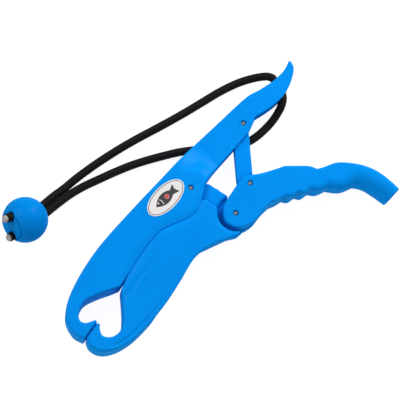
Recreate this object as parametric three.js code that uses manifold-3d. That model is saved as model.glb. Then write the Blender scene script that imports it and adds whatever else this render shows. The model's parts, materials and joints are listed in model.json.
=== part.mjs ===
// Lip grip: a plastic fish grip. The trigger hangs on the lower jaw, and a link ties it to the handle, so the
// three turn together and open or close the jaws. An elastic cord through the horn carries a float ball.
// Millimetres, +Z up. The grip lies on its far side on z = 0, and its near side faces up. Outlines are drawn
// with the jaw pivot at x = 0, y = 0 and the handle's spine along +X; the whole group is centred at the end.
import * as THREE from 'three';
import { mergeVertices } from 'three/addons/utils/BufferGeometryUtils.js';
import Module from 'manifold-3d';

const wasm = await Module();
wasm.setup();

// Driving dimensions
const gripThickness = 24; // jaws, cheeks and trigger
const handleWidth = 11.4;
const channelWidth = 7.4; // inside the handle's U section
const jawSlotWidth = 12.6; // between the body's cheeks
const tongueWidth = 12; // lower jaw between those cheeks
const forkSlotWidth = 7.4; // between the trigger's cheeks
const lugWidth = 6.8; // lower jaw's lug, and the link
const pinRadius = 1.5;
const gap = 0.3; // between pieces that touch
const linkEyeClearance = 0.9; // round the link trigger pin, the linkage's loose pivot
const forkRecessRadius = 12.5; // lower jaw's recess for the trigger's cheeks
const tongueRadius = 11.8; // lower jaw's tongue round the jaw pin
const tongueSlotRadius = 12.3; // body's slot for it
const cordRadius = 3;
const cordBoreRadius = 3.3;
const ballRadius = 15.8;
const plugRadius = 9.2;
const coreRadius = 2.5;

// Pivots, in the plane of the grip
const jawPivot = [0, 0];
const triggerPivot = [9.9, -34.3];
const linkPivot = [32.5, -26.2];
const handlePivot = [62.2, 8.6];

// Levels through the thickness
const midLevel = gripThickness / 2;
const outside = 10; // how far a cutter reaches past the faces
const farOff = 140; // beyond the grip's end
const curveSteps = 3;
const roundSides = 48;
const pinSides = 20;

// ---- Solids -------------------------------------------------------------------------------------------

function toSolid(geometry) {
  const bare = geometry.index ? geometry.toNonIndexed() : geometry.clone();
  bare.deleteAttribute('normal');
  bare.deleteAttribute('uv');
  const merged = mergeVertices(bare, 1e-4);
  const mesh = new wasm.Mesh({
    numProp: 3,
    vertProperties: new Float32Array(merged.attributes.position.array),
    triVerts: new Uint32Array(merged.index.array),
  });
  mesh.merge();
  return new wasm.Manifold(mesh);
}

function toGeometry(solid) {
  const { vertProperties, triVerts } = solid.getMesh();
  const geometry = new THREE.BufferGeometry();
  geometry.setAttribute('position', new THREE.BufferAttribute(new Float32Array(vertProperties), 3));
  geometry.setIndex(new THREE.BufferAttribute(new Uint32Array(triVerts), 1));
  geometry.computeVertexNormals();
  return geometry;
}

// A closed outline from runs of points. A run of two points is straight, a longer one is a smooth curve, and
// each run starts where the last one ended, at a corner.
function outline(runs) {
  const shape = new THREE.Shape();
  shape.moveTo(...runs[0][0]);
  for (const run of runs) {
    const rest = run.slice(1).map(([x, y]) => new THREE.Vector2(x, y));
    if (rest.length === 1) shape.lineTo(rest[0].x, rest[0].y);
    else shape.splineThru(rest);
  }
  return shape;
}

function polygon(points) {
  return new THREE.Shape(points.map(([x, y]) => new THREE.Vector2(x, y)));
}

// A slab of an outline, between two levels
function slab(shape, low, high) {
  const options = { depth: high - low, bevelEnabled: false, curveSegments: curveSteps, steps: 1 };
  return toSolid(new THREE.ExtrudeGeometry(shape, options).translate(0, 0, low));
}

// A slab of an outline, of one width about the middle of the grip
function midSlab(shape, width) {
  return slab(shape, midLevel - width / 2, midLevel + width / 2);
}

function disc([x, y], radius, low, high, sides = roundSides) {
  const geometry = new THREE.CylinderGeometry(radius, radius, high - low, sides);
  return toSolid(geometry.rotateX(Math.PI / 2).translate(x, y, (low + high) / 2));
}

function midDisc(centre, radius, width, sides = roundSides) {
  return disc(centre, radius, midLevel - width / 2, midLevel + width / 2, sides);
}

// A cylinder between two points in space
function rod(from, to, radius, sides = roundSides) {
  const axis = new THREE.Vector3().subVectors(to, from);
  const geometry = new THREE.CylinderGeometry(radius, radius, axis.length(), sides);
  const turn = new THREE.Quaternion().setFromUnitVectors(new THREE.Vector3(0, 1, 0), axis.clone().normalize());
  geometry.applyQuaternion(turn);
  const middle = new THREE.Vector3().addVectors(from, to).multiplyScalar(0.5);
  return toSolid(geometry.translate(middle.x, middle.y, middle.z));
}

// A profile in X and Z, drawn through the grip along Y
function crossPrism(points, low, high) {
  const options = { depth: high - low, bevelEnabled: false, steps: 1 };
  const geometry = new THREE.ExtrudeGeometry(polygon(points), options);
  return toSolid(geometry.rotateX(Math.PI / 2).translate(0, high, 0));
}

function tube(route, radius, steps, sides) {
  const section = new THREE.Shape();
  for (let i = 0; i < sides; i += 1) {
    const turn = (i / sides) * 2 * Math.PI;
    const point = [radius * Math.cos(turn), radius * Math.sin(turn)];
    if (i === 0) section.moveTo(...point);
    else section.lineTo(...point);
  }
  return new THREE.ExtrudeGeometry(section, { steps, bevelEnabled: false, extrudePath: route });
}

function pinHole(centre, clearance = gap) {
  return disc(centre, pinRadius + clearance, -outside, gripThickness + outside, pinSides);
}

// ---- Main body ----------------------------------------------------------------------------------------

// Where the body and the lower jaw part, from the cheek's end round the jaw pin to the point of the heart
const parting = [
  [7.9, -5.9], [-1, -11.4], [-10.3, -14.4], [-18.9, -13], [-33.3, -7.9], [-42.1, -7.1], [-60, -10], [-72, -13],
];
const partingBody = parting.map(([x, y]) => [x, y + gap]);
const partingJaw = parting.slice(1).map(([x, y]) => [x, y - gap]);

const bodyOutline = outline([
  [[-112.2, -22.6], [-126.6, -24.9]],
  [
    [-126.6, -24.9], [-128.8, -17], [-125.6, -6.2], [-116.1, 1.7], [-98.1, 8.8], [-73.8, 14.2], [-42.7, 17],
    [-11.6, 18.9], [20.6, 20.8], [45, 20.9], [76, 20.8], [88, 18.3], [100, 16.2], [111, 16.3], [118.5, 18.4],
  ],
  [[118.5, 18.4], [119.9, 18.9], [120.4, 17.2]],
  [[120.4, 17.2], [118, 12.3], [109.8, 7], [100.5, 3.7], [92.6, 2.9], [83.8, 3.5], [71, 5.9]],
  [[71, 5.9], [68.6, 4.2]],
  [[68.6, 4.2], [60.2, 1.3], [47.7, 0], [20.3, -2.3]],
  [[20.3, -2.3], [14.5, -3.3]],
  [[14.5, -3.3], ...partingBody, [-83.6, -15.9]],
  [
    [-83.6, -15.9], [-90.9, -13], [-98.5, -9.6], [-108.3, -6.7], [-115.3, -8.6], [-119.6, -13], [-118.5, -17.3],
    [-113.8, -20],
  ],
  [[-113.8, -20], [-111.9, -20.9], [-112.2, -22.6]],
]);

// The tongue's slot reaches from the jaw pin to the parting line
const tongueEdge = [-30, -10.5];
const tongueTop = [-10, 6.3];

function tongueShape(grow) {
  return polygon([
    [tongueEdge[0] - grow, tongueEdge[1] + grow], [tongueTop[0] - grow, tongueTop[1] + grow],
    [tongueRadius + grow, -0.5], [tongueRadius + grow, -30], [tongueEdge[0] - grow, -30],
  ]);
}

const slopeStart = 5; // the body thins from the cheeks to the handle here
const slopeEnd = 25;

function handleRelief() {
  const face = gripThickness;
  const handleFace = midLevel + handleWidth / 2;
  const upper = [
    [slopeStart, face], [slopeEnd, handleFace], [farOff, handleFace], [farOff, face + outside],
    [slopeStart, face + outside],
  ];
  const lower = upper.map(([x, z]) => [x, gripThickness - z]).reverse();
  return crossPrism(upper, -farOff, farOff).add(crossPrism(lower, -farOff, farOff));
}

const channelOutline = outline([
  [[18, -20], [18, 15.5]],
  [[18, 15.5], [20, 17.5]],
  [[20, 17.5], [45, 17.9]],
  [[45, 17.9], [76, 17.8], [88, 15.3], [98, 13.2], [104, 12.6], [108, 10]],
  [[108, 10], [108, -20]],
  [[108, -20], [18, -20]],
]);

const cordHole = [new THREE.Vector3(101.4, 9, midLevel), new THREE.Vector3(103.7, 22, midLevel)];
const labelCentre = [-17.9, 6.9];
const labelRadii = [16.5, 8.4];
const labelTurn = 0.04;
const labelRecess = 0.5;

function labelShape(grow) {
  const shape = new THREE.Shape();
  const [long, short] = labelRadii;
  shape.absellipse(...labelCentre, long + grow, short + grow, 0, 2 * Math.PI, false, labelTurn);
  return shape;
}

function labelSlab(grow, low, high) {
  const options = { depth: high - low, bevelEnabled: false, curveSegments: roundSides, steps: 1 };
  return toSolid(new THREE.ExtrudeGeometry(labelShape(grow), options).translate(0, 0, low));
}

function mainBody() {
  return slab(bodyOutline, 0, gripThickness)
    .subtract(handleRelief())
    .subtract(midSlab(channelOutline, channelWidth))
    .subtract(midDisc(jawPivot, tongueSlotRadius, jawSlotWidth))
    .subtract(midSlab(tongueShape(gap), jawSlotWidth))
    .subtract(rod(...cordHole, cordBoreRadius + gap))
    .subtract(pinHole(jawPivot))
    .subtract(pinHole(handlePivot))
    .subtract(labelSlab(gap, gripThickness - labelRecess, gripThickness + outside));
}

// ---- Lower jaw ----------------------------------------------------------------------------------------

// The full-thickness part of the jaw stops at the step beside the cheek
const jawBottom = [
  [-124.9, -25.3], [-127.2, -31], [-124.5, -38.9], [-116.8, -44.5], [-105.5, -48.3], [-92, -49.1],
  [-71.1, -47.2], [-52.1, -42.6], [-33.5, -37.6], [-18.7, -39.2], [-6.4, -44.6], [0, -46.6], [4.6, -47.3],
];
const jawInner = [
  [-84.6, -17.6], [-88.4, -22.1], [-96.5, -31.4], [-103.9, -37.3], [-111.4, -37], [-115.9, -32],
  [-113.8, -26.6],
];
const jawRaised = outline([
  [[-112.4, -23.1], [-124.9, -25.3]],
  jawBottom,
  [[4.6, -47.3], [4.6, -30]],
  [[4.6, -30], [5.3, -25.2]],
  [[5.3, -25.2], [2.3, -18.6], [2.2, -13]],
  [[2.2, -13], partingJaw[0]],
  [...partingJaw, [-84.6, -17.6]],
  jawInner,
  [[-113.8, -26.6], [-111.9, -25], [-112.4, -23.1]],
]);

// The tongue and the jaw's rear end are thinner, and run between the body's cheeks
const jawTongue = outline([
  [tongueEdge, tongueTop],
  [tongueTop, [9.9, -4.9]],
  [[9.9, -4.9], [13.4, -23.1]],
  [[13.4, -23.1], [9.9, -34.3]],
  [[9.9, -34.3], [0, -44]],
  [[0, -44], [-30, -34]],
  [[-30, -34], tongueEdge],
]);

// The lug carries the trigger pin
const jawLug = polygon([
  [13.8, -19], [16.2, -33], [13, -39.5], [5.2, -46.6], [0, -46], [-20, -34], [0, -19],
]);
const lugRadius = 6.4;

function lowerJaw() {
  const thick = slab(jawRaised, 0, gripThickness);
  const tongue = midSlab(jawTongue, tongueWidth).add(midDisc(jawPivot, tongueRadius, tongueWidth));
  const forkRoom = disc(triggerPivot, forkRecessRadius, -outside, gripThickness + outside);
  const lug = midSlab(jawLug, lugWidth).add(midDisc(triggerPivot, lugRadius, lugWidth));
  return thick
    .add(tongue)
    .subtract(forkRoom)
    .add(lug)
    .subtract(pinHole(jawPivot))
    .subtract(pinHole(triggerPivot));
}

// ---- Trigger ------------------------------------------------------------------------------------------

// Finger side: valleys and the bumps between them, from the heel to the tip
const fingerRuns = [
  [[33.7, -46.2], [39, -48.2], [44.3, -49.2]],
  [[44.3, -49.2], [47, -52.8], [52.6, -53.8]],
  [[52.6, -53.8], [55.2, -57.5], [61, -58.5]],
  [[61, -58.5], [64.6, -63.2], [71.2, -65.9]],
  [[71.2, -65.9], [77.6, -73.8], [86.9, -77.8]],
];

const triggerOutline = outline([
  [[30.8, -19.8], [25.7, -20.4], [15.2, -22.6]],
  [[15.2, -22.6], [6.6, -25.4], [1.2, -31.5], [0.4, -36.3], [3.4, -42.6], [9, -46], [16.5, -47.4], [26, -46.2],
    [33.7, -46.2]],
  ...fingerRuns,
  [[86.9, -77.8], [90.6, -83.5], [92.6, -91], [94.3, -100.6]],
  [[94.3, -100.6], [96, -102.2], [105.6, -102.1]],
  [[105.6, -102.1], [106.7, -101.2], [106.6, -93.6], [104.9, -82.2], [99.5, -70.3], [89.2, -58.5],
    [79.4, -53.8], [74.8, -51.5]],
  [[74.8, -51.5], [72, -46], [64.5, -38.7], [59.3, -34], [54.6, -31.9], [44, -26.6], [34.7, -20.7],
    [30.8, -19.8]],
]);

// The fork is open at the heel and on the side of the handle
const forkRoom = polygon([
  [19, -60], [21, -39], [33, -37], [44, -34.5], [58, -24], [50, 0], [-20, 0], [-20, -60],
]);

function trigger() {
  return slab(triggerOutline, 0, gripThickness)
    .subtract(midSlab(forkRoom, forkSlotWidth))
    .subtract(pinHole(triggerPivot))
    .subtract(pinHole(linkPivot));
}

// ---- Link ---------------------------------------------------------------------------------------------

// The link's own directions: along it from the trigger to the handle, and across it
const linkSpan = new THREE.Vector2(handlePivot[0] - linkPivot[0], handlePivot[1] - linkPivot[1]);
const linkAlong = linkSpan.clone().normalize();

function onLink(along, across) {
  return [
    linkPivot[0] + along * linkAlong.x - across * linkAlong.y,
    linkPivot[1] + along * linkAlong.y + across * linkAlong.x,
  ];
}

const linkEnd = linkSpan.length() + 4.4;
const linkOutline = outline([
  [onLink(3, -3.7), onLink(linkSpan.length() - 2, -3.7)],
  [onLink(linkSpan.length() - 2, -3.7), onLink(linkEnd - 1.4, -2), onLink(linkEnd, 1), onLink(linkEnd - 1.6, 4.6),
    onLink(linkEnd - 7, 7.9)],
  [onLink(linkEnd - 7, 7.9), onLink(5, 7.9)],
  [onLink(5, 7.9), onLink(-0.5, 6.8), onLink(-4.3, 3), onLink(-4, -1.6), onLink(-1, -3.7), onLink(3, -3.7)],
]);

function link() {
  return midSlab(linkOutline, lugWidth)
    .subtract(pinHole(linkPivot, linkEyeClearance))
    .subtract(pinHole(handlePivot));
}

// ---- Pins and label -----------------------------------------------------------------------------------

const pinSink = 0.9; // a pin's ends lie this far under the faces

function pin(centre, width) {
  return midDisc(centre, pinRadius, width - 2 * pinSink, pinSides);
}

const labelThickness = 0.4;

function label() {
  const underside = gripThickness - labelRecess + gap;
  return labelSlab(0, underside, underside + labelThickness);
}

// ---- Cord, ball and plug ------------------------------------------------------------------------------

const ballCentre = new THREE.Vector3(-97.3, 63.4, ballRadius);
const plugAxis = new THREE.Vector3(-0.8776, 0.145, 0.4569).normalize(); // out through the plug
const tailSide = new THREE.Vector3(-0.446, -0.5963, -0.6675).normalize(); // from the upper tail to the lower
const mouthSide = new THREE.Vector3(-0.26, -0.93, 0.2).normalize();
const plugInner = 1.5; // along the axis from the ball's centre
const plugOuter = 12.8;
const upperTail = { side: -1, end: 16, spread: 7.9, core: 2.2 };
const lowerTail = { side: 1, end: 15.2, spread: 7.2, core: 1.4 };

// A strand's way through the ball: in beside the other one, out on its own side of the plug
function throughBall(tail) {
  const stations = [
    [-14.5, mouthSide, 3.1], [-9, mouthSide, 3.6], [-3, tailSide, 5.4], [2, tailSide, 6.8], [8, tailSide, 7.2],
    [tail.end, tailSide, tail.spread],
  ];
  return stations.map(([along, across, spread]) =>
    ballCentre.clone().addScaledVector(plugAxis, along).addScaledVector(across, tail.side * spread));
}

function points(list) {
  return list.map((p) => new THREE.Vector3(...p));
}

// Upper strand: out of the hole in the horn, down beside the spine and along the floor to the ball
const upperRoute = new THREE.CatmullRomCurve3([
  ...points([
    [102.6, 15.4, 12], [103.1, 18.6, 12], [101.6, 21.9, 11.3], [98, 25.6, 9.4], [93.4, 29.2, 7.1],
    [88.4, 32.3, 5.1], [82.6, 35, 3.7], [70.3, 38.7, 3.1], [56.7, 41.5, 3], [43, 44.3, 3],
    [29.8, 47.3, 3], [17, 50.5, 3], [4.3, 53.8, 3], [-8.7, 56.8, 3], [-22, 59.3, 3],
    [-35.9, 61.4, 3], [-49.5, 62.8, 3], [-60, 63.2, 3.5], [-69.5, 63.9, 5.4],
  ]),
  ...throughBall(upperTail),
]);

// Lower strand: out of the channel, round under the link and the handle, and back to the ball
const lowerRoute = new THREE.CatmullRomCurve3([
  ...points([
    [102.4, 14.9, 12], [101.9, 11, 12], [100.5, 7, 12], [98.3, 3.3, 12], [95.5, 0.9, 11.5],
    [92.5, -0.7, 10.2], [89.3, -1.8, 8.3], [86, -2.6, 6.3], [82.4, -3.2, 4.6], [78.5, -3.5, 3.4],
    [73.5, -3.6, 3], [67.5, -3.4, 3], [61, -2.4, 3], [55.2, -0.5, 3], [49.9, 2.5, 3],
    [43.6, 7.2, 3], [36.8, 12.6, 3], [29.9, 17.8, 3], [24, 22.2, 3], [17.2, 26.9, 3],
    [7.1, 32.6, 3], [-3.2, 38, 3], [-14, 43, 3], [-25.6, 47.4, 3], [-37.4, 51.3, 3],
    [-49.8, 55.1, 3.4], [-60.5, 57.1, 4.8], [-70.3, 57.8, 6.8],
  ]),
  ...throughBall(lowerTail),
]);

const strandSides = 12;
const upperSteps = 36;
const lowerSteps = 42;

const cordBores = toSolid(tube(upperRoute, cordBoreRadius, upperSteps, strandSides))
  .add(toSolid(tube(lowerRoute, cordBoreRadius, lowerSteps, strandSides)));

function alongAxis(distance) {
  return ballCentre.clone().addScaledVector(plugAxis, distance);
}

function ball() {
  const sphere = toSolid(new THREE.SphereGeometry(ballRadius, 36, 24)
    .translate(ballCentre.x, ballCentre.y, ballCentre.z));
  const pocket = rod(alongAxis(plugInner - gap), alongAxis(ballRadius + outside), plugRadius + gap);
  return sphere.subtract(pocket).subtract(cordBores);
}

function plug() {
  return rod(alongAxis(plugInner), alongAxis(plugOuter), plugRadius).subtract(cordBores);
}

// The rubber core stands out of each cut end
function core(route, length) {
  const end = route.getPointAt(1);
  const outward = route.getTangentAt(1);
  const start = end.clone().addScaledVector(outward, gap);
  return rod(start, start.clone().addScaledVector(outward, length), coreRadius, pinSides);
}

// ---- Assembly -----------------------------------------------------------------------------------------

function plastic(color) {
  return new THREE.MeshStandardMaterial({ color, roughness: 0.35, metalness: 0 });
}

const blue = plastic(0x0d92ee);
const steel = new THREE.MeshStandardMaterial({ color: 0x8d9096, roughness: 0.4, metalness: 0.9 });
const paper = new THREE.MeshStandardMaterial({ color: 0xf2f3f4, roughness: 0.3, metalness: 0 });
const braid = new THREE.MeshStandardMaterial({ color: 0x141414, roughness: 0.8, metalness: 0 });
const latex = new THREE.MeshStandardMaterial({ color: 0xd8d6cf, roughness: 0.7, metalness: 0 });

function piece(name, geometry, material) {
  const mesh = new THREE.Mesh(geometry, material);
  mesh.name = name;
  return mesh;
}

function solidPiece(name, solid, material) {
  return piece(name, toGeometry(solid), material);
}

const tool = new THREE.Group();
tool.add(
  solidPiece('main_body', mainBody(), blue),
  solidPiece('lower_jaw', lowerJaw(), blue),
  solidPiece('trigger', trigger(), blue),
  solidPiece('link', link(), blue),
  solidPiece('jaw_pin', pin(jawPivot, gripThickness), steel),
  solidPiece('trigger_pin', pin(triggerPivot, gripThickness), steel),
  solidPiece('link_trigger_pin', pin(linkPivot, gripThickness), steel),
  solidPiece('link_body_pin', pin(handlePivot, handleWidth), steel),
  solidPiece('label', label(), paper),
);

const lanyard = new THREE.Group();
lanyard.add(
  piece('cord_upper', tube(upperRoute, cordRadius, upperSteps, strandSides), braid),
  piece('cord_lower', tube(lowerRoute, cordRadius, lowerSteps, strandSides), braid),
  solidPiece('cord_ball', ball(), blue),
  solidPiece('ball_plug', plug(), blue),
  solidPiece('core_upper', core(upperRoute, upperTail.core), latex),
  solidPiece('core_lower', core(lowerRoute, lowerTail.core), latex),
);

// The origin is under the middle of the grip, on the surface it lies on
const extent = new THREE.Box3().setFromObject(tool);
const grip = new THREE.Group();
grip.add(tool, lanyard);
grip.position.set(-(extent.min.x + extent.max.x) / 2, -(extent.min.y + extent.max.y) / 2, -extent.min.z);

export default grip;
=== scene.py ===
"""Lip grip: blue moulded plastic with a linked trigger, an elastic cord and a float ball, on a pale floor."""
import json
import math

import bmesh
import bpy
import numpy as np
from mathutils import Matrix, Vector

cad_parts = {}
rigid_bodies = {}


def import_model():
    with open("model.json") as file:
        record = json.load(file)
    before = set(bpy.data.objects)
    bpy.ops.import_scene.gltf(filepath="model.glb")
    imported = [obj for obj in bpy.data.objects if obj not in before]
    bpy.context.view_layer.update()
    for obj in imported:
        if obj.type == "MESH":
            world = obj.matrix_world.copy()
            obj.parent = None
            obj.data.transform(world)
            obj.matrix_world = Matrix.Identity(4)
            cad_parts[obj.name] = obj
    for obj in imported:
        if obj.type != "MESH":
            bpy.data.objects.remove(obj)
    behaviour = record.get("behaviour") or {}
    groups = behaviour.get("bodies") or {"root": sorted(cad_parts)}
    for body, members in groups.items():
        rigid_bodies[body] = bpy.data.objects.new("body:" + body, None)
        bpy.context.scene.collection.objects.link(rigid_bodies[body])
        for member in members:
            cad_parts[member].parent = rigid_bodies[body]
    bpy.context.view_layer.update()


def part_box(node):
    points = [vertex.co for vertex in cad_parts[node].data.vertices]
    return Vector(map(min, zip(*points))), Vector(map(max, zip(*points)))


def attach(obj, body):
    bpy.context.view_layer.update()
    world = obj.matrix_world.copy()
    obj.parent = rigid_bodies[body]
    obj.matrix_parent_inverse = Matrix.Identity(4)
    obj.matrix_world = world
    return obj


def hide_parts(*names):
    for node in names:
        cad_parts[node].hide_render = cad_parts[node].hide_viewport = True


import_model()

import openvdb
from mathutils import Matrix, Vector
from mathutils.geometry import tessellate_polygon

MM = 0.001
pin_low, pin_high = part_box("jaw_pin")
PIVOT = (pin_low + pin_high) / 2  # the jaw pivot, where outlines have x = 0, y = 0

# ---- The grip's main sizes, in millimetres ----------------------------------------------------------------

THICKNESS = 24
MID = THICKNESS / 2
HANDLE_HALF = 5.7
CHANNEL_HALF = 3.7
SLOT_HALF = 6.3
TONGUE_HALF = 6
FORK_SLOT_HALF = 3.7
LUG_HALF = 3.4
TONGUE_RADIUS = 11.8
TONGUE_SLOT_RADIUS = 12.3
FORK_RECESS_RADIUS = 12.5
PIN_RADIUS = 1.5
PIN_HOLE_RADIUS = 1.8
LINK_EYE_RADIUS = 2.4
GAP = 0.3
CORD_RADIUS = 3
BORE_RADIUS = 3.25
BALL_RADIUS = 15.8
PLUG_RADIUS = 9.2

JAW_PIVOT = (0, 0)
TRIGGER_PIVOT = (9.9, -34.3)
LINK_PIVOT = (32.5, -26.2)
HANDLE_PIVOT = (62.2, 8.6)


def row(x, y, z):
    """A point of the outlines' frame, in metres in the row frame."""
    return Vector((x * MM + PIVOT.x, y * MM + PIVOT.y, z * MM))


# ---- Outlines ---------------------------------------------------------------------------------------------


def hermite(a, b, da, db, t):
    """The point at t, from 0 to 1, on the cubic from a to b that leaves along da and arrives along db."""
    return (2 * a - 2 * b + da + db) * t**3 + (3 * b - 3 * a - 2 * da - db) * t**2 + da * t + a


def spline(points, steps=6):
    """A smooth curve through points, without its first one."""
    p = np.array([points[0], *points, points[-1]], float)
    found = []
    for i in range(1, len(p) - 2):
        a, b = p[i], p[i + 1]
        da, db = (b - p[i - 1]) / 2, (p[i + 2] - a) / 2
        for t in np.linspace(0, 1, steps + 1)[1:]:
            found.append(hermite(a, b, da, db, t))
    return np.array(found)


def outline(runs):
    """A closed outline from runs of points: a run of two is straight, a longer one is a smooth curve."""
    pieces = [np.array([run[1]], float) if len(run) == 2 else spline(run) for run in runs]
    return np.vstack(pieces)


PARTING = [(7.9, -5.9), (-1, -11.4), (-10.3, -14.4), (-18.9, -13), (-33.3, -7.9), (-42.1, -7.1), (-60, -10),
           (-72, -13)]
PARTING_BODY = [(x, y + 0.05) for x, y in PARTING]
PARTING_JAW = [(x, y - 0.05) for x, y in PARTING[1:]]

BODY = outline([
    [(-112.2, -22.6), (-126.6, -24.9)],
    [(-126.6, -24.9), (-128.8, -17), (-125.6, -6.2), (-116.1, 1.7), (-98.1, 8.8), (-73.8, 14.2),
     (-42.7, 17), (-11.6, 18.9), (20.6, 20.8), (45, 20.9), (76, 20.8), (88, 18.3), (100, 16.2),
     (111, 16.3), (118.5, 18.4)],
    [(118.5, 18.4), (119.9, 18.9), (120.4, 17.2)],
    [(120.4, 17.2), (118, 12.3), (109.8, 7), (100.5, 3.7), (92.6, 2.9), (83.8, 3.5), (71, 5.9)],
    [(71, 5.9), (68.6, 4.2)],
    [(68.6, 4.2), (60.2, 1.3), (47.7, 0), (20.3, -2.3)],
    [(20.3, -2.3), (14.5, -3.3)],
    [(14.5, -3.3), *PARTING_BODY, (-83.6, -15.9)],
    [(-83.6, -15.9), (-90.9, -13), (-98.5, -9.6), (-108.3, -6.7), (-115.3, -8.6), (-119.6, -13),
     (-118.5, -17.3), (-113.8, -20)],
    [(-113.8, -20), (-111.9, -20.9), (-112.2, -22.6)],
])

CHANNEL = outline([
    [(18, -20), (18, 15.5)],
    [(18, 15.5), (20, 17.5)],
    [(20, 17.5), (45, 17.9)],
    [(45, 17.9), (76, 17.8), (88, 15.3), (98, 13.2), (104, 12.6), (108, 10)],
    [(108, 10), (108, -20)],
    [(108, -20), (18, -20)],
])

TONGUE_SLOT = np.array([(-30.3, -10.2), (-10.3, 6.6), (12.1, -0.5), (12.1, -30), (-30.3, -30)])

JAW_BOTTOM = [(-124.9, -25.3), (-127.2, -31), (-124.5, -38.9), (-116.8, -44.5), (-105.5, -47.6), (-92, -48),
              (-71.1, -46.3), (-52.1, -42.4), (-33.5, -37.6), (-18.7, -39.2), (-6.4, -44.6), (0, -46.6),
              (4.6, -47.3)]

JAW = outline([
    [(-112.4, -23.1), (-124.9, -25.3)],
    JAW_BOTTOM,
    [(4.6, -47.3), (4.6, -30)],
    [(4.6, -30), (5.3, -25.2)],
    [(5.3, -25.2), (2.3, -18.6), (2.2, -13)],
    [(2.2, -13), PARTING_JAW[0]],
    [*PARTING_JAW, (-84.6, -17.6)],
    [(-84.6, -17.6), (-88.4, -22.1), (-96.5, -31.4), (-103.9, -37.3), (-111.4, -37), (-115.9, -32),
     (-113.8, -26.6)],
    [(-113.8, -26.6), (-111.9, -25), (-112.4, -23.1)],
])

TONGUE = np.array([(-30, -10.5), (-10, 6.3), (9.9, -3), (12.6, -6), (16.4, -22.4), (9.9, -34.3), (0, -44),
                   (-30, -34)])
LUG = np.array([(13.8, -19), (16.2, -33), (13, -39.5), (5.2, -46.6), (0, -46), (-20, -34), (0, -19)])

FINGER_RUNS = [
    [(33.7, -46.2), (39, -48.2), (44.3, -49.2)],
    [(44.3, -49.2), (47, -52.8), (52.6, -53.8)],
    [(52.6, -53.8), (55.2, -57.5), (61, -58.5)],
    [(61, -58.5), (64.6, -63.2), (71.2, -65.9)],
    [(71.2, -65.9), (77.6, -73.8), (86.9, -77.8)],
    [(86.9, -77.8), (90.6, -83.5), (92.6, -91), (94.3, -100.6)],
]

TRIGGER = outline([
    [(30.8, -19.8), (25.7, -20.4), (15.2, -22.6)],
    [(15.2, -22.6), (6.6, -25.4), (1.2, -31.5), (0.4, -36.3), (3.4, -42.6), (9, -46), (16.5, -47.4),
     (26, -46.2), (33.7, -46.2)],
    *FINGER_RUNS,
    [(94.3, -100.6), (96, -102.2), (105.6, -102.1)],
    [(105.6, -102.1), (106.7, -101.2), (106.6, -93.6), (104.9, -82.2), (99.5, -70.3), (89.2, -58.5),
     (79.4, -53.8), (74.8, -51.5)],
    [(74.8, -51.5), (72, -46), (64.5, -38.7), (59.3, -34), (54.6, -31.9), (44, -26.6), (34.7, -20.7),
     (30.8, -19.8)],
])

FORK_ROOM = np.array([(19, -60), (21, -39), (33, -37), (44, -34.5), (58, -24), (50, 0), (-20, 0), (-20, -60)])


def on_link(along, across):
    """A point given along and across the link, from its eye at the trigger."""
    start, end = np.array(LINK_PIVOT), np.array(HANDLE_PIVOT)
    way = (end - start) / np.linalg.norm(end - start)
    return tuple(start + along * way + across * np.array([-way[1], way[0]]))


SPAN = math.dist(LINK_PIVOT, HANDLE_PIVOT)
LINK = outline([
    [on_link(3, -3.7), on_link(SPAN - 2, -3.7)],
    [on_link(SPAN - 2, -3.7), on_link(SPAN + 3, -2), on_link(SPAN + 4.4, 1), on_link(SPAN + 2.8, 4.6),
     on_link(SPAN - 2.6, 7.9)],
    [on_link(SPAN - 2.6, 7.9), on_link(5, 7.9)],
    [on_link(5, 7.9), on_link(-0.5, 6.8), on_link(-4.3, 3), on_link(-4, -1.6), on_link(-1, -3.7),
     on_link(3, -3.7)],
])

# ---- Solids as distance fields ----------------------------------------------------------------------------


FAR = 1e9


class Grid:
    """A block of sample points, in millimetres."""

    def __init__(self, low, high, step):
        self.step = step
        self.low = np.array(low, float) - 2 * step
        counts = np.ceil((np.array(high, float) - self.low) / step).astype(int) + 3
        x, y, z = (self.low[i] + step * np.arange(counts[i]) for i in range(3))
        self.x, self.y = x, y
        self.X, self.Y, self.Z = x[:, None, None], y[None, :, None], z[None, None, :]


def away(points, grid):
    """Distance to a line of points over the grid's plan."""
    px, py = np.meshgrid(grid.x, grid.y, indexing="ij")
    best = np.full(px.shape, FAR)
    for (ax, ay), (bx, by) in zip(points[:-1], points[1:]):
        ex, ey = bx - ax, by - ay
        square = ex * ex + ey * ey
        if square > 1e-9:
            t = np.clip(((px - ax) * ex + (py - ay) * ey) / square, 0, 1)
            best = np.minimum(best, (px - ax - t * ex) ** 2 + (py - ay - t * ey) ** 2)
    return np.sqrt(best)[:, :, None]


def signed(points, grid):
    """Distance to a closed outline over the grid's plan, negative inside it."""
    closed = np.vstack([points, points[:1]])
    px, py = np.meshgrid(grid.x, grid.y, indexing="ij")
    inside = np.zeros(px.shape, bool)
    for (ax, ay), (bx, by) in zip(closed[:-1], closed[1:]):
        if ay != by:
            inside ^= ((py < ay) != (py < by)) & (px < ax + (bx - ax) * (py - ay) / (by - ay))
    return np.where(inside, -1, 1)[:, :, None] * away(closed, grid)


def circle(centre, radius, grid):
    """Distance to an upright round wall, negative inside it."""
    return np.hypot(grid.X - centre[0], grid.Y - centre[1]) - radius


def rounded(side, level, radius):
    """Where a wall and a face meet in an edge of that radius."""
    a, b = side + radius, level + radius
    return np.hypot(np.maximum(a, 0), np.maximum(b, 0)) + np.minimum(np.maximum(a, b), 0) - radius


def plate(side, grid, half, radius=0.01):
    """A plate about the middle of the grip, as thick as 2 * half, with rounded edges."""
    return rounded(side, np.abs(grid.Z - MID) - half, radius)


def both(a, b, soft):
    """What is in a and in b, with the edge between them softened."""
    return np.maximum(a, b) + np.maximum(soft - np.abs(a - b), 0) ** 2 / (4 * soft)


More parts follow.
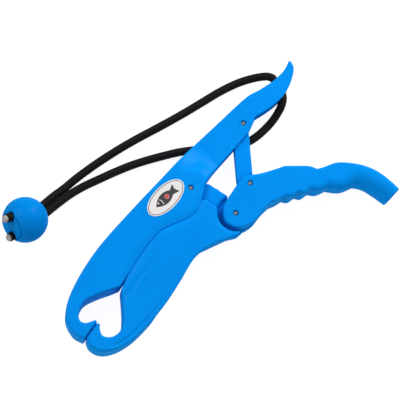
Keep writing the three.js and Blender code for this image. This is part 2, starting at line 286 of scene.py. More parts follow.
def either(a, b, soft):
    return -both(-a, -b, soft)


def minus(a, b, soft):
    return both(a, -b, soft)


def mix(x, low, high):
    """A smooth rise from 0 at low to 1 at high."""
    t = np.clip((x - low) / (high - low), 0, 1)
    return t * t * (3 - 2 * t)


def near_line(points, grid):
    """Distance in space to a line of points."""
    best = np.full(np.broadcast_shapes(grid.X.shape, grid.Y.shape, grid.Z.shape), FAR)
    for a, b in zip(points[:-1], points[1:]):
        e = b - a
        d = [grid.X - a[0], grid.Y - a[1], grid.Z - a[2]]
        t = np.clip((d[0] * e[0] + d[1] * e[1] + d[2] * e[2]) / (e @ e), 0, 1)
        best = np.minimum(best, sum((d[i] - t * e[i]) ** 2 for i in range(3)))
    return np.sqrt(best)


def new_object(name, mesh, body, slot, *nodes):
    piece = bpy.data.objects.new(name, mesh)
    bpy.context.scene.collection.objects.link(piece)
    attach(piece, body)
    if nodes:
        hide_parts(*nodes)
    return piece


def mesh_from(made, name):
    """The mesh of what bmesh holds, which is freed."""
    mesh = bpy.data.meshes.new(name)
    made.to_mesh(mesh)
    made.free()
    return mesh


def skin(made, rings):
    """Faces from each ring of points to the next, and one over each end."""
    for lower, upper in zip(rings[:-1], rings[1:]):
        for k in range(len(lower)):
            n = (k + 1) % len(lower)
            made.faces.new((lower[k], lower[n], upper[n], upper[k]))
    made.faces.new(rings[0][::-1])
    made.faces.new(rings[-1])


FIELD_CAP = 5  # distances are stored up to this far from the surface


def surface(name, field, grid, body, slot, *nodes):
    """A smooth mesh of where the field is zero."""
    volume = openvdb.FloatGrid(background=float(FIELD_CAP))
    volume.copyFromArray(np.clip(field, -FIELD_CAP, FIELD_CAP).astype(np.float32))
    points, quads = volume.convertToQuads(isovalue=0.0)
    points = (points * grid.step + grid.low) * MM
    points[:, 0] += PIVOT.x
    points[:, 1] += PIVOT.y
    mesh = bpy.data.meshes.new(name)
    mesh.from_pydata(points.tolist(), [], quads[:, ::-1].tolist())
    mesh.validate()
    shaped = bmesh.new()
    shaped.from_mesh(mesh)
    bmesh.ops.recalc_face_normals(shaped, faces=shaped.faces)
    shaped.to_mesh(mesh)
    shaped.free()
    mesh.shade_smooth()
    return new_object(name, mesh, body, slot, *nodes)


# ---- The mouldings ----------------------------------------------------------------------------------------

STEP = 0.55  # between the sample points of the large mouldings
LINK_STEP = 0.4
BALL_STEP = 0.45
PARTING_LINE = spline(PARTING + [(-84, -16.7)])
VALLEY_DEPTH = 1.1
VALLEY_WIDTH = 2.9
CREASE = spline([(-89, -24), (-84.2, -22.6), (-79, -22.5), (-72, -20.9), (-66, -20), (-54, -17.4),
                 (-44, -14.5)])
CREASE_DEPTH = 0.9
CREASE_WIDTH = 1.8
RIM_CREASE_PLACE = 2.6  # how far in from the jaw's outer wall the shallow crease along it lies
RIM_CREASE_DEPTH = 0.9
RIM_CREASE_WIDTH = 1.3
EDGE_RADIUS = 1.7  # of the body's and the jaw's edges
EDGE_LOST = 1.5  # of that radius, where two pieces meet at the bottom of the valley

# How much each kind of rim is softened
HOLE_RIM = 0.5
OPENING_RIM = 0.9
SLOT_RIM = 0.8
CORD_HOLE_RIM = 1.2
RECESS_RIM = 3.4

OUTER_WALL_RADIUS = 2.4  # of the lower jaw's edges along its outer wall
TONGUE_BUMP = (13.6, -13.5)  # a small round rise on the tongue's rear edge
TONGUE_BUMP_RADIUS = 1.2
LUG_RADIUS = 6.4
JOINED = 0.8  # the fillet where the tongue and the lug grow out of the jaw
CORD_HOLE = np.array([(101.0, 7.0, MID), (104.1, 24.0, MID)])  # a line through the horn


def dent(distance, depth, width):
    """The depth of a soft dent at a distance from its middle."""
    return depth * np.exp(-((distance / width) ** 2))


def valley(grid):
    """How much of the soft valley along the parting is at each place, from 0 to 1."""
    return dent(away(PARTING_LINE, grid), 1, VALLEY_WIDTH)


def bored(field, grid, centre, radius=PIN_HOLE_RADIUS):
    """The field with a pin's hole through it."""
    return minus(field, circle(centre, radius, grid), HOLE_RIM)


def main_body():
    grid = Grid((-130, -27, 0), (122, 23, THICKNESS), STEP)
    side = signed(BODY, grid)
    lower_side = 1 - mix(grid.Y, 2, 14)
    # 0 over the jaw and 1 over the thinner handle; the slope between them starts later on the lower side
    slope = mix(grid.X, 2 + 9 * lower_side, 28)
    half = MID - (MID - HANDLE_HALF) * slope
    radius = EDGE_RADIUS - 0.5 * slope - EDGE_LOST * valley(grid)
    field = plate(side, grid, half - VALLEY_DEPTH * valley(grid), radius)
    channel = plate(signed(CHANNEL, grid), grid, CHANNEL_HALF, 0.8)
    slot = np.minimum(signed(TONGUE_SLOT, grid), circle(JAW_PIVOT, TONGUE_SLOT_RADIUS, grid))
    field = minus(field, channel, OPENING_RIM)
    field = minus(field, plate(slot, grid, SLOT_HALF), SLOT_RIM)
    field = bored(field, grid, JAW_PIVOT)
    field = bored(field, grid, HANDLE_PIVOT)
    field = minus(field, near_line(CORD_HOLE, grid) - BORE_RADIUS - GAP, CORD_HOLE_RIM)
    return surface("body_moulding", field, grid, "body", "body_plastic", "main_body")


def lower_jaw():
    grid = Grid((-128, -51, 0), (19, 13, THICKNESS), STEP)
    side = signed(JAW, grid)
    crease = (1 - mix(grid.X, -72, -42)) * dent(away(CREASE, grid), CREASE_DEPTH, CREASE_WIDTH)
    dip = crease + VALLEY_DEPTH * valley(grid)
    above_bottom = np.vstack([[JAW_BOTTOM[0]], spline(JAW_BOTTOM), [(30, -47.3), (30, 60), (-124.9, 60)]])
    below = signed(above_bottom, grid)
    rim = mix(grid.X, -122, -110) * (1 - mix(grid.X, -84, -60))
    dip = dip + rim * dent(below + RIM_CREASE_PLACE, RIM_CREASE_DEPTH, RIM_CREASE_WIDTH)
    field = plate(side, grid, MID - dip, EDGE_RADIUS - EDGE_LOST * valley(grid))
    # the outer wall leans in towards the resting side, more towards the pivot
    lean = 0.24 * mix(grid.X, -88, -50)
    undercut = below + lean * (THICKNESS - grid.Z)
    field = np.maximum(field, rounded(undercut, np.abs(grid.Z - MID) - MID, OUTER_WALL_RADIUS))
    tongue = np.minimum(signed(TONGUE, grid), circle(JAW_PIVOT, TONGUE_RADIUS, grid))
    tongue = np.minimum(tongue, circle(TONGUE_BUMP, TONGUE_BUMP_RADIUS, grid))
    field = either(field, plate(tongue, grid, TONGUE_HALF, 0.9), JOINED)
    field = minus(field, circle(TRIGGER_PIVOT, FORK_RECESS_RADIUS, grid), RECESS_RIM)
    lug = np.minimum(signed(LUG, grid), circle(TRIGGER_PIVOT, LUG_RADIUS, grid))
    field = either(field, plate(lug, grid, LUG_HALF, 0.8), JOINED)
    field = bored(field, grid, JAW_PIVOT)
    field = bored(field, grid, TRIGGER_PIVOT)
    return surface("jaw_moulding", field, grid, "jaw", "body_plastic", "lower_jaw")


# The finger side's edges get rounder towards the trigger's tip: the radius at each place along the handle,
# on the side with the label and on the side that the grip rests on.
FINGER_STATIONS = [42, 58, 72, 84, 93]
FINGER_RADII_ABOVE = [1.6, 2.6, 5.5, 8.5, 10.5]
FINGER_RADII_UNDER = [3, 4.5, 8.5, 10.5, 11.2]


def trigger():
    grid = Grid((-1, -104, 0), (109, -17, THICKNESS), STEP)
    field = plate(signed(TRIGGER, grid), grid, MID, 1.6)
    beyond = [(97.8, -120), (140, -120), (140, 0), (-40, 0), (-40, -60), (20, -60)]
    reach = signed(np.vstack([outline(FINGER_RUNS), beyond]), grid)
    above = np.interp(grid.X, FINGER_STATIONS, FINGER_RADII_ABOVE)
    under = np.interp(grid.X, FINGER_STATIONS, FINGER_RADII_UNDER)
    radius = np.where(grid.Z > MID, above, under)
    field = np.maximum(field, rounded(reach, np.abs(grid.Z - MID) - MID, radius))
    room = plate(signed(FORK_ROOM, grid), grid, FORK_SLOT_HALF, 0.8)
    field = minus(field, room, OPENING_RIM)
    field = bored(field, grid, TRIGGER_PIVOT)
    field = bored(field, grid, LINK_PIVOT)
    return surface("trigger_moulding", field, grid, "lever", "body_plastic", "trigger")


def link():
    grid = Grid((26, -32, 8), (67, 15, 16), LINK_STEP)
    field = plate(signed(LINK, grid), grid, LUG_HALF, 1)
    field = bored(field, grid, LINK_PIVOT, LINK_EYE_RADIUS)
    field = bored(field, grid, HANDLE_PIVOT)
    return surface("link_moulding", field, grid, "toggle", "body_plastic", "link")


# ---- The cord's two strands, from the horn to the ball ----------------------------------------------------

BALL_CENTRE = np.array([-97.3, 63.4, BALL_RADIUS])


def unit(v):
    v = np.array(v, float)
    return v / np.linalg.norm(v)


PLUG_AXIS = unit((-0.8776, 0.145, 0.4569))
TAIL_SIDE = unit((-0.446, -0.5963, -0.6675))
MOUTH_SIDE = unit((-0.26, -0.93, 0.2))


def through_ball(side, end, spread):
    """A strand's way through the ball, on one side (1 or -1) of the plug's axis, to its cut end."""
    stations = [(-14.5, MOUTH_SIDE, 3.1), (-9, MOUTH_SIDE, 3.6), (-3, TAIL_SIDE, 5.4), (2, TAIL_SIDE, 6.8),
                (8, TAIL_SIDE, 7.2), (end, TAIL_SIDE, spread)]
    return [tuple(BALL_CENTRE + along * PLUG_AXIS + side * out * across) for along, across, out in stations]


UPPER_ROUTE = [
    (102.6, 15.4, 12), (103.1, 18.6, 12), (101.6, 21.9, 11.3), (98, 25.6, 9.4), (93.4, 29.2, 7.1),
    (88.4, 32.3, 5.1), (82.6, 35, 3.7), (70.3, 38.7, 3.1), (56.7, 41.5, 3), (43, 44.3, 3),
    (29.8, 47.3, 3), (17, 50.5, 3), (4.3, 53.8, 3), (-8.7, 56.8, 3), (-22, 59.3, 3),
    (-35.9, 61.4, 3), (-49.5, 62.8, 3), (-60, 63.2, 3.5), (-69.5, 63.9, 5.4),
    *through_ball(-1, 16, 7.9),
]
LOWER_ROUTE = [
    (102.4, 14.9, 12), (101.9, 11, 12), (100.5, 7, 12), (98.3, 3.3, 12), (95.5, 0.9, 11.5),
    (92.5, -0.7, 10.2), (89.3, -1.8, 8.3), (86, -2.6, 6.3), (82.4, -3.2, 4.6), (78.5, -3.5, 3.4),
    (73.5, -3.6, 3), (67.5, -3.4, 3), (61, -2.4, 3), (55.2, -0.5, 3), (49.9, 2.5, 3),
    (43.6, 7.2, 3), (36.8, 12.6, 3), (29.9, 17.8, 3), (24, 22.2, 3), (17.2, 26.9, 3),
    (7.1, 32.6, 3), (-3.2, 38, 3), (-14, 43, 3), (-25.6, 47.4, 3), (-37.4, 51.3, 3),
    (-49.8, 55.1, 3.4), (-60.5, 57.1, 4.8), (-70.3, 57.8, 6.8),
    *through_ball(1, 15.2, 7.2),
]


def smooth_route(points, spacing=0.4):
    """Evenly spaced points on the centripetal curve through the route's points."""
    p = np.array(points, float)
    p = np.vstack([2 * p[0] - p[1], p, 2 * p[-1] - p[-2]])
    fine = [p[1]]
    for i in range(1, len(p) - 2):
        x0, x1, x2, x3 = p[i - 1:i + 3]
        d0, d1, d2 = (math.sqrt(np.linalg.norm(b - a)) for a, b in ((x0, x1), (x1, x2), (x2, x3)))
        m1 = ((x1 - x0) / d0 - (x2 - x0) / (d0 + d1) + (x2 - x1) / d1) * d1
        m2 = ((x2 - x1) / d1 - (x3 - x1) / (d1 + d2) + (x3 - x2) / d2) * d1
        for t in np.linspace(0, 1, 25)[1:]:
            fine.append(hermite(x1, x2, m1, m2, t))
    fine = np.array(fine)
    run = np.concatenate([[0], np.cumsum(np.linalg.norm(np.diff(fine, axis=0), axis=1))])
    places = np.linspace(0, run[-1], int(run[-1] / spacing) + 1)
    return np.column_stack([np.interp(places, run, fine[:, i]) for i in range(3)]), run[-1]


AROUND = 48  # points round the cord
CARRIERS = 8  # yarns each way round the braid
YARN_PITCH = 2.6  # along the cord, from one yarn to the next one of its own hand
YARN_HEIGHT = 0.14
YARN_FULLNESS = 0.6  # under 1, so that the yarns are flat on top and the gaps between them are narrow
FRAY_LENGTH = 1.2
FRAY_SPREAD = 0.12


def strand(name, centres, length, node):
    """One strand of braided cord, as a tube whose surface rises over each crossing yarn."""
    count = len(centres)
    ways = np.gradient(centres, axis=0)
    ways /= np.linalg.norm(ways, axis=1)[:, None]
    across = np.zeros_like(ways)
    across[0] = unit(np.cross(ways[0], (0.3, 0.2, 1)))
    for i in range(1, count):
        across[i] = unit(across[i - 1] - ways[i] * (across[i - 1] @ ways[i]))
    up = np.cross(ways, across)
    turn = np.arange(AROUND) / AROUND * 2 * math.pi
    along = np.linspace(0, length, count)
    right = CARRIERS * turn[None, :] / 2 + math.pi * along[:, None] / YARN_PITCH
    left = CARRIERS * turn[None, :] / 2 - math.pi * along[:, None] / YARN_PITCH
    crossing = np.sin(right) * np.sin(left)
    lump = np.abs(crossing) ** YARN_FULLNESS
    whole = np.clip((length - along) / FRAY_LENGTH, 0, 1)[:, None]
    radius = CORD_RADIUS - YARN_HEIGHT * (1 - lump) + FRAY_SPREAD * (1 - whole)
    outward = np.cos(turn)[None, :, None] * across[:, None, :] + np.sin(turn)[None, :, None] * up[:, None, :]
    rings = centres[:, None, :] + radius[:, :, None] * outward
    # the cut end turns in towards the core: two more rings, each a share of the way in and a little back
    tips = [rings[-1] * (1 - s) + centres[-1] * s - ways[-1] * d for s, d in ((0.12, 0), (0.34, 0.5))]
    points = np.vstack([rings.reshape(-1, 3), *tips, [centres[0]], [centres[-1] - ways[-1] * 0.5]])
    rows = count + 2
    faces = []
    for start in range(0, (rows - 1) * AROUND, AROUND):
        for k in range(AROUND):
            n = (k + 1) % AROUND
            faces.append((start + k, start + n, start + AROUND + n, start + AROUND + k))
    first, last = len(points) - 2, len(points) - 1
    for k in range(AROUND):
        n = (k + 1) % AROUND
        faces.append((first, n, k))
        faces.append((last, (rows - 1) * AROUND + k, (rows - 1) * AROUND + n))
    mesh = bpy.data.meshes.new(name)
    mesh.from_pydata([row(*p) for p in points], [], faces)
    at_tips = np.full(len(points) - lump.size, 0.5)
    depth = np.concatenate([lump.ravel(), at_tips])
    hand = np.concatenate([(crossing > 0).astype(float).ravel(), at_tips])
    for label, values in (("yarn", depth), ("hand", hand)):
        mesh.attributes.new(label, "FLOAT", "POINT").data.foreach_set("value", values.astype(np.float32))
    layer = mesh.uv_layers.new(name="UVMap")
    corner = np.zeros(len(mesh.loops), np.int64)
    mesh.loops.foreach_get("vertex_index", corner)
    ring, place = corner // AROUND, corner % AROUND
    uv = np.column_stack([place / AROUND, np.minimum(ring, count - 1) * length / count / 10])
    layer.data.foreach_set("uv", uv.astype(np.float32).ravel())
    mesh.shade_smooth()
    piece = new_object(name, mesh, "body", "cord_braid", node)
    piece.data.materials.append(braid)
    path = [tuple(row(*p)) for p in centres[::4]]
    path.append(tuple(row(*centres[-1])))


# ---- Materials --------------------------------------------------------------------------------------------


class Shader:
    """A Principled material, with helpers for the nodes that feed it."""

    def __init__(self, name, **sockets):
        self.material = bpy.data.materials.new(name)
        self.material.use_nodes = True
        self.tree = self.material.node_tree
        self.main = self.tree.nodes["Principled BSDF"]
        for socket, value in sockets.items():
            self.main.inputs[socket.replace("_", " ")].default_value = value
        self.place = self.tree.nodes.new("ShaderNodeTexCoord")

    def join(self, source, target):
        self.tree.links.new(source, target)

    def where(self, kind="Object", scale=(1, 1, 1), turn=(0, 0, 0)):
        mapping = self.tree.nodes.new("ShaderNodeMapping")
        mapping.inputs["Scale"].default_value = scale
        mapping.inputs["Rotation"].default_value = turn
        self.join(self.place.outputs[kind], mapping.inputs["Vector"])
        return mapping.outputs["Vector"]

    def noise(self, scale, detail=3, at=None, rough=0.5):
        node = self.tree.nodes.new("ShaderNodeTexNoise")
        node.inputs["Scale"].default_value = scale
        node.inputs["Detail"].default_value = detail
        node.inputs["Roughness"].default_value = rough
        self.join(at or self.place.outputs["Object"], node.inputs["Vector"])
        return node.outputs["Fac"]

    def attribute(self, name):
        node = self.tree.nodes.new("ShaderNodeAttribute")
        node.attribute_name = name
        return node.outputs["Fac"]

    def ramp(self, value, stops):
        node = self.tree.nodes.new("ShaderNodeValToRGB")
        while len(node.color_ramp.elements) < len(stops):
            node.color_ramp.elements.new(0.5)
        for element, (position, color) in zip(node.color_ramp.elements, stops):
            element.position = position
            element.color = (*color, 1)
        self.join(value, node.inputs["Fac"])
        return node.outputs["Color"]

    def math(self, operation, a, b):
        node = self.tree.nodes.new("ShaderNodeMath")
        node.operation = operation
        for socket, value in zip(node.inputs, (a, b)):
            if isinstance(value, (int, float)):
                socket.default_value = value
            else:
                self.join(value, socket)
        return node.outputs["Value"]

    def blend(self, factor, a, b, kind="MIX"):
        node = self.tree.nodes.new("ShaderNodeMix")
        node.data_type = "RGBA"
        node.blend_type = kind
        for socket, value in ((node.inputs["Factor"], factor), (node.inputs["A"], a), (node.inputs["B"], b)):
            if isinstance(value, tuple):
                socket.default_value = (*value, 1)
            elif isinstance(value, (int, float)):
                socket.default_value = value
            else:
                self.join(value, socket)
        return node.outputs["Result"]

    def range(self, value, low, high, start=0.0, end=1.0):
        node = self.tree.nodes.new("ShaderNodeMapRange")
        for key, number in (("From Min", start), ("From Max", end), ("To Min", low), ("To Max", high)):
            node.inputs[key].default_value = number
        self.join(value, node.inputs["Value"])
        return node.outputs["Result"]

    def bump(self, *layers):
        """Layers of (height, strength, distance in metres), each over the one before."""
        normal = None
        for height, strength, distance in layers:
            node = self.tree.nodes.new("ShaderNodeBump")
            node.inputs["Strength"].default_value = strength
            node.inputs["Distance"].default_value = distance
            self.join(height, node.inputs["Height"])
            if normal:
                self.join(normal, node.inputs["Normal"])
            normal = node.outputs["Normal"]
        self.join(normal, self.main.inputs["Normal"])
        self.join(normal, self.main.inputs["Coat Normal"])

    def color(self, value):
        self.join(value, self.main.inputs["Base Color"])

    def roughness(self, value):
        self.join(value, self.main.inputs["Roughness"])


def moulded_plastic(name, depth):
    """Blue plastic, its colour deeper by the given factor."""
    s = Shader(name, Specular_IOR_Level=0.0, Coat_Weight=0.04, Coat_Roughness=0.25, Subsurface_Weight=0.3,
               Subsurface_Scale=0.002)
    s.main.inputs["Subsurface Radius"].default_value = (0.2, 0.6, 1)
    darker = (0.0002, 0.21 * depth, 0.64 * depth)
    lighter = (0.0004, 0.23 * depth, 0.68 * depth)
    cloud = s.ramp(s.noise(22, 3), [(0.3, darker), (0.7, lighter)])
    speck = s.ramp(s.noise(1500, 2), [(0.35, (0.93, 0.93, 0.95)), (0.65, (1, 1, 1))])
    # painted shade: an ambient-occlusion node darkens the colour, less in blue than in red and green,
    # wherever other surfaces lie within 5 mm. That covers creases, grooves, gaps between parts and the foot
    # of walls. In the most occluded spots the ramp lifts green and blue again.
    occlusion_probe = s.tree.nodes.new("ShaderNodeAmbientOcclusion")
    occlusion_probe.samples = 8
    occlusion_probe.inputs["Distance"].default_value = 0.005
    painted_crease_shade = s.ramp(occlusion_probe.outputs["AO"], [(0.02, (1, 1.9, 1.6)), (0.35, (0.6, 0.62, 0.8)), (0.95, (1, 1, 1))])
    tone_and_painted_shade = s.blend(1.0, s.blend(1.0, cloud, speck, "MULTIPLY"), painted_crease_shade, "MULTIPLY")
    # part edge wear, part painted highlight: convex edges, found by pointiness and broken up by noise, are
    # blended towards a lighter blue
    edge = s.tree.nodes.new("ShaderNodeNewGeometry").outputs["Pointiness"]
    wear_and_painted_highlight = s.math("MULTIPLY", s.range(edge, 0, 1, 0.53, 0.62), s.range(s.noise(160, 3), 0, 0.35, 0.45, 0.7))
    s.color(s.blend(wear_and_painted_highlight, tone_and_painted_shade, (0.003, 0.36, 0.9)))
    scuff = s.noise(1, 2, s.where(scale=(2600, 90, 2600), turn=(0, 0, 0.5)), 0.6)
    s.roughness(s.math("ADD", s.range(s.noise(70, 4), 0.2, 0.3), s.range(scuff, 0, 0.08, 0.55, 0.75)))
    s.bump((s.noise(260, 2), 0.12, 0.0003), (s.noise(2600, 2), 0.1, 0.00006), (scuff, 0.05, 0.00004))
    return s.material


def steel():
    s = Shader("pin_steel", Metallic=0.9)
    s.color(s.ramp(s.noise(700, 3), [(0.3, (0.11, 0.13, 0.16)), (0.7, (0.2, 0.23, 0.27))]))
    lines = s.noise(1, 3, s.where(scale=(9000, 500, 500), turn=(0, 0, 0.7)))
    s.roughness(s.range(lines, 0.28, 0.5))
    s.bump((lines, 0.3, 0.00003), (s.noise(1800, 3), 0.3, 0.00005))
    return s.material


def film():
    s = Shader("label_film", Coat_Weight=0.3, Coat_Roughness=0.15)
    s.color(s.ramp(s.noise(120, 3), [(0.3, (0.57, 0.55, 0.55)), (0.7, (0.63, 0.6, 0.6))]))
    s.roughness(s.range(s.noise(300, 3), 0.3, 0.42))
    s.bump((s.noise(900, 2), 0.06, 0.00005))
    return s.material


def ink(name, dark, light):
    s = Shader(name)
    s.color(s.ramp(s.noise(2500, 2), [(0.35, dark), (0.65, light)]))
    s.roughness(s.range(s.noise(800, 2), 0.32, 0.46))
    s.bump((s.noise(2500, 2), 0.1, 0.00003))
    return s.material


def braided():
    s = Shader("cord_braid", Sheen_Weight=0.03, Sheen_Roughness=0.4, Specular_IOR_Level=0.1)
    yarn = s.attribute("yarn")
    # painted shade: the braid's colour is darker where the surface sinks between the yarns and lighter on the
    # yarn tops
    tone_and_painted_shade = s.ramp(yarn, [(0.1, (0.001, 0.001, 0.0011)), (0.9, (0.005, 0.005, 0.0052))])
    flecks = s.ramp(s.noise(1, 2, s.where("UV", (260, 900, 1))),
                    [(0.4, (0.7, 0.7, 0.7)), (0.75, (1.5, 1.5, 1.5))])
    s.color(s.blend(1.0, tone_and_painted_shade, flecks, "MULTIPLY"))
    s.roughness(s.range(s.noise(500, 3), 0.5, 0.68))
    right = s.noise(1, 2, s.where("UV", (420, 60, 1), (0, 0, 0.9)))
    left = s.noise(1, 2, s.where("UV", (420, 60, 1), (0, 0, -0.9)))
    hand = s.attribute("hand")
    fibres = s.math("ADD", s.math("MULTIPLY", right, hand),
                    s.math("MULTIPLY", left, s.math("SUBTRACT", 1.0, hand)))
    s.bump((fibres, 0.5, 0.0001), (s.noise(4000, 2), 0.2, 0.00004))
    return s.material


def latex():
    s = Shader("cord_core", Subsurface_Weight=0.1, Subsurface_Scale=0.0006)
    cells = s.tree.nodes.new("ShaderNodeTexVoronoi")
    cells.inputs["Scale"].default_value = 2200
    s.join(s.place.outputs["Object"], cells.inputs["Vector"])
    s.color(s.ramp(cells.outputs["Distance"], [(0.1, (0.5, 0.48, 0.46)), (0.7, (0.2, 0.19, 0.18))]))
    s.roughness(s.range(s.noise(900, 3), 0.55, 0.75))
    s.bump((cells.outputs["Distance"], 0.6, 0.0002), (s.noise(2500, 3), 0.3, 0.0001))
    return s.material


plastic = moulded_plastic("moulded_plastic", 1)
float_plastic = moulded_plastic("float_plastic", 0.86)
pin_metal = steel()
braid = braided()
rubber = latex()


# ---- Small pieces -----------------------------------------------------------------------------------------


def turned(name, profile, centre, axis, body, slot, node, sides=40):
    """A piece turned about an axis from a profile of (distance along the axis, radius), in millimetres."""
    axis = Vector(axis).normalized()
    side = axis.orthogonal().normalized()
    other = axis.cross(side)
    made = bmesh.new()
    rings = []
    for along, radius in profile:
        middle = Vector(centre) + axis * along
        ring = []
        for k in range(sides):
            t = 2 * math.pi * k / sides
            point = middle + side * radius * math.cos(t) + other * radius * math.sin(t)
            ring.append(made.verts.new(row(*point)))
        rings.append(ring)
    skin(made, rings)
    bmesh.ops.recalc_face_normals(made, faces=made.faces)
    mesh = mesh_from(made, name)
    mesh.shade_smooth()
    return new_object(name, mesh, body, slot, node)


PIN_SINK = 0.9


def pin(name, centre, half, body):
    """A steel dowel with chamfered, slightly domed ends."""
    end = half - PIN_SINK
    up = [(end - 0.42, PIN_RADIUS), (end - 0.2, 1.42), (end - 0.06, 1.16), (end - 0.02, 0.7), (end, 0.12)]
    profile = [(-a, r) for a, r in reversed(up)] + up
    piece = turned(name + "_dowel", profile, (*centre, MID), (0, 0, 1), body, "pin_steel", name)
    piece.data.materials.append(pin_metal)


LABEL_CENTRE = (-17.9, 6.9)
LABEL_RADII = (16.5, 8.4)
LABEL_TURN = 0.04


def on_label(x, y):
    """A point of the label's own frame, in the outlines' frame."""
    c, s = math.cos(LABEL_TURN), math.sin(LABEL_TURN)
    return LABEL_CENTRE[0] + x * c - y * s, LABEL_CENTRE[1] + x * s + y * c


def ellipse(inset, sides=96):
    turns = np.linspace(0, 2 * math.pi, sides, endpoint=False)
    return [((LABEL_RADII[0] - inset) * math.cos(t), (LABEL_RADII[1] - inset) * math.sin(t)) for t in turns]


# How far in from the label's edge each ring of the film is, and its height: from under the body's face,
# up the edge and over the softened rim to the flat top.
FILM_RINGS = [(0, 23.85), (0, 24.06), (0.08, 24.13), (0.3, 24.16), (1.2, 24.165)]


def label():
    """A film oval with a softened rim."""
    made = bmesh.new()
    rings = []
    for inset, level in FILM_RINGS:
        rings.append([made.verts.new(row(*on_label(x, y), level)) for x, y in ellipse(inset)])
    skin(made, rings)
    piece = new_object("label_film", mesh_from(made, "label_film"), "body", "label_film", "label")
    piece.data.materials.append(film())


INK_LOW = 24.16
INK_HIGH = 24.19


def printed(name, loops, material):
    """A flat printed shape on the label. The first loop is its edge, the others are holes in it."""
    flat = [[Vector((*p, 0)) for p in loop] for loop in loops]
    triangles = tessellate_polygon(flat)
    points = [p for loop in loops for p in loop]
    made = bmesh.new()
    top = [made.verts.new(row(*on_label(*p), INK_HIGH)) for p in points]
    low = [made.verts.new(row(*on_label(*p), INK_LOW)) for p in points]
    for a, b, c in triangles:
        made.faces.new((top[a], top[b], top[c]))
        made.faces.new((low[c], low[b], low[a]))
    first = 0
    for loop in loops:
        for k in range(len(loop)):
            a, b = first + k, first + (k + 1) % len(loop)
            made.faces.new((low[a], low[b], top[b], top[a]))
        first += len(loop)
    bmesh.ops.recalc_face_normals(made, faces=made.faces)
    piece = new_object(name, mesh_from(made, name), "body", "label_film")
    piece.data.materials.append(material)


def disc_loop(x, y, radius, sides=20):
    turns = np.linspace(0, 2 * math.pi, sides, endpoint=False)
    return [(x + radius * math.cos(t), y + radius * math.sin(t)) for t in turns]


def fish():
    """A plain fish with a red dot, facing the jaws: an oval with a tail, an eye and a gill, in a border."""
    dark = ink("ink_dark", (0.012, 0.013, 0.016), (0.022, 0.023, 0.028))
    red = ink("ink_red", (0.4, 0.03, 0.03), (0.5, 0.05, 0.04))
    printed("label_border", [ellipse(0.8), ellipse(1.25)], dark)
    nose, tail_root, half_height = -9.5, 6, 3.9
    belly = [(x, -half_height * math.sin(math.pi * ((x - nose) / 17.5)) ** 0.8)
             for x in np.linspace(nose, tail_root, 22)]
    tail = [(10.2, -3.6), (8.9, 0), (10.2, 3.6)]
    back = [(x, -y) for x, y in reversed(belly)]
    body = spline(belly, 1).tolist()[:-1] + tail + back
    gill = [(-4.5, 2.3), (-4.1, 1.2), (-3.95, 0), (-4.1, -1.2), (-4.5, -2.3), (-4, -2.3), (-3.55, -1.2),
            (-3.4, 0), (-3.55, 1.2), (-4, 2.3)]
    eye = disc_loop(-6.6, 0.9, 0.62)
    printed("label_fish", [body, eye, gill, disc_loop(1.2, 0, 1.7, 28)], dark)
    printed("label_dot", [disc_loop(1.2, 0, 1.6, 28)], red)


PLUG_OUTER = 12.8  # along the plug's axis from the ball's centre
PLUG_INNER = 1.5
POCKET_INNER = 1.2
POCKET_GAP = 0.25


def ball_and_plug(paths):
    """The float ball with its pocket, and the plug in it, both with the strands' two ways through them."""
    grid = Grid(BALL_CENTRE - BALL_RADIUS, BALL_CENTRE + BALL_RADIUS, BALL_STEP)
    place = [grid.X - BALL_CENTRE[0], grid.Y - BALL_CENTRE[1], grid.Z - BALL_CENTRE[2]]
    distance = np.sqrt(sum(d**2 for d in place))
    along = sum(d * a for d, a in zip(place, PLUG_AXIS))
    radial = np.sqrt(np.maximum(distance**2 - along**2, 0))
    bores = FAR
    for path in paths:
        close = path[np.linalg.norm(path - BALL_CENTRE, axis=1) < BALL_RADIUS + 4][::4]
        bores = np.minimum(bores, near_line(close, grid) - BORE_RADIUS)
    pocket = np.maximum(radial - PLUG_RADIUS - POCKET_GAP, POCKET_INNER - along)
    sphere = minus(minus(distance - BALL_RADIUS, pocket, 0.8), bores, 0.8)
    wedge = rounded(radial - PLUG_RADIUS, np.maximum(along - PLUG_OUTER, PLUG_INNER - along), 0.7)
    return (surface("ball_moulding", sphere, grid, "body", "body_plastic", "cord_ball"),
            surface("plug_moulding", minus(wedge, bores, 0.6), grid, "body", "body_plastic", "ball_plug"))


# ---- Assembly ---------------------------------------------------------------------------------------------

main_body()
lower_jaw()
trigger()
link()
pin("jaw_pin", JAW_PIVOT, MID, "body")
pin("trigger_pin", TRIGGER_PIVOT, MID, "lever")
pin("link_trigger_pin", LINK_PIVOT, MID, "lever")
pin("link_body_pin", HANDLE_PIVOT, HANDLE_HALF, "body")
label()
fish()

upper, upper_length = smooth_route(UPPER_ROUTE)
lower, lower_length = smooth_route(LOWER_ROUTE)
ball, plug = ball_and_plug([upper, lower])
for which, path, length in (("upper", upper, 2.2), ("lower", lower, 1.4)):
    way = unit(path[-1] - path[-2])
    profile = [(-0.4, 2.1), (0.2, 2.4), (length * 0.6, 2.5), (length - 0.3, 2.4), (length, 1.9),
               (length - 0.1, 0.5)]
    core = turned("rubber_core_" + which, profile, path[-1] + GAP * way, way, "body", "cord_core",
                  "core_" + which, 28)
    core.data.materials.append(rubber)
strand("braid_upper", upper, upper_length, "cord_upper")
strand("braid_lower", lower, lower_length, "cord_lower")

for piece in bpy.context.scene.objects:
    if piece.name.endswith("_moulding"):
        piece.data.materials.append(float_plastic if piece in (ball, plug) else plastic)

# ---- Floor, lights and camera -----------------------------------------------------------------------------


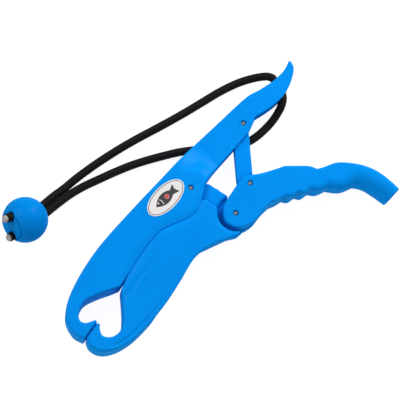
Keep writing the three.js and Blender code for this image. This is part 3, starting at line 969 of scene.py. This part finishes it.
def floor():
    made = bmesh.new()
    bmesh.ops.create_grid(made, x_segments=1, y_segments=1, size=6)
    ground = bpy.data.objects.new("studio_floor", mesh_from(made, "studio_floor"))
    bpy.context.scene.collection.objects.link(ground)
    s = Shader("studio_floor", Emission_Color=(1, 1, 1, 1), Emission_Strength=0.92)
    s.color(s.ramp(s.noise(3, 2), [(0.3, (0.13, 0.13, 0.13)), (0.7, (0.15, 0.15, 0.15))]))
    s.roughness(s.range(s.noise(5, 2), 0.8, 0.9))
    ground.data.materials.append(s.material)


# The view looks almost straight down, leaning 15.6 degrees, with the handle pointing up and to the right.
TOWARDS_CAMERA = Vector((-0.24815, -0.10363, 0.96316))
RIGHT = Vector((0.70316, -0.70316, 0.10550))
UP = Vector((0.66632, 0.70344, 0.24736))
TARGET = row(1.32, -9.35, MID)
DISTANCE = 1.1
SENSOR_WIDTH = 36
LENS = 141.43  # at that distance one of the image's 400 pixels is 0.7 mm


def soft_light(name, right, up, out, size, power):
    """An area light placed from the target along the view's right, up and towards the camera, in metres."""
    data = bpy.data.lights.new(name, "AREA")
    data.shape = "DISK"
    data.size = size
    data.energy = power
    lamp = bpy.data.objects.new(name, data)
    lamp.location = TARGET + RIGHT * right + UP * up + TOWARDS_CAMERA * out
    lamp.rotation_euler = (TARGET - lamp.location).to_track_quat("-Z", "Y").to_euler()
    bpy.context.scene.collection.objects.link(lamp)


def studio_air(level, overhead):
    """White light from all round, from its level at the horizon to its level overhead."""
    world = bpy.data.worlds.new("studio_air")
    world.use_nodes = True
    tree = world.node_tree
    background = tree.nodes["Background"]
    background.inputs["Color"].default_value = (1, 1, 1, 1)
    place = tree.nodes.new("ShaderNodeTexCoord")
    parts = tree.nodes.new("ShaderNodeSeparateXYZ")
    span = tree.nodes.new("ShaderNodeMapRange")
    span.inputs["To Min"].default_value = level
    span.inputs["To Max"].default_value = overhead
    tree.links.new(place.outputs["Generated"], parts.inputs["Vector"])
    tree.links.new(parts.outputs["Z"], span.inputs["Value"])
    tree.links.new(span.outputs["Result"], background.inputs["Strength"])
    bpy.context.scene.world = world


def place_camera():
    data = bpy.data.cameras.new("camera")
    data.sensor_width = SENSOR_WIDTH
    data.lens = LENS
    data.clip_start = 0.05
    camera = bpy.data.objects.new("camera", data)
    turn = Matrix((RIGHT, UP, TOWARDS_CAMERA)).transposed()
    camera.matrix_world = Matrix.Translation(TARGET + TOWARDS_CAMERA * DISTANCE) @ turn.to_4x4()
    bpy.context.scene.collection.objects.link(camera)
    bpy.context.scene.camera = camera


floor()
soft_light("light_key", 0.66, 0.83, 0.33, 0.55, 9.7)
soft_light("light_left", -0.9, 0.9, 1.3, 1.0, 12)
studio_air(0.15, 1.0)
place_camera()
bpy.context.scene.view_settings.view_transform = "Standard"
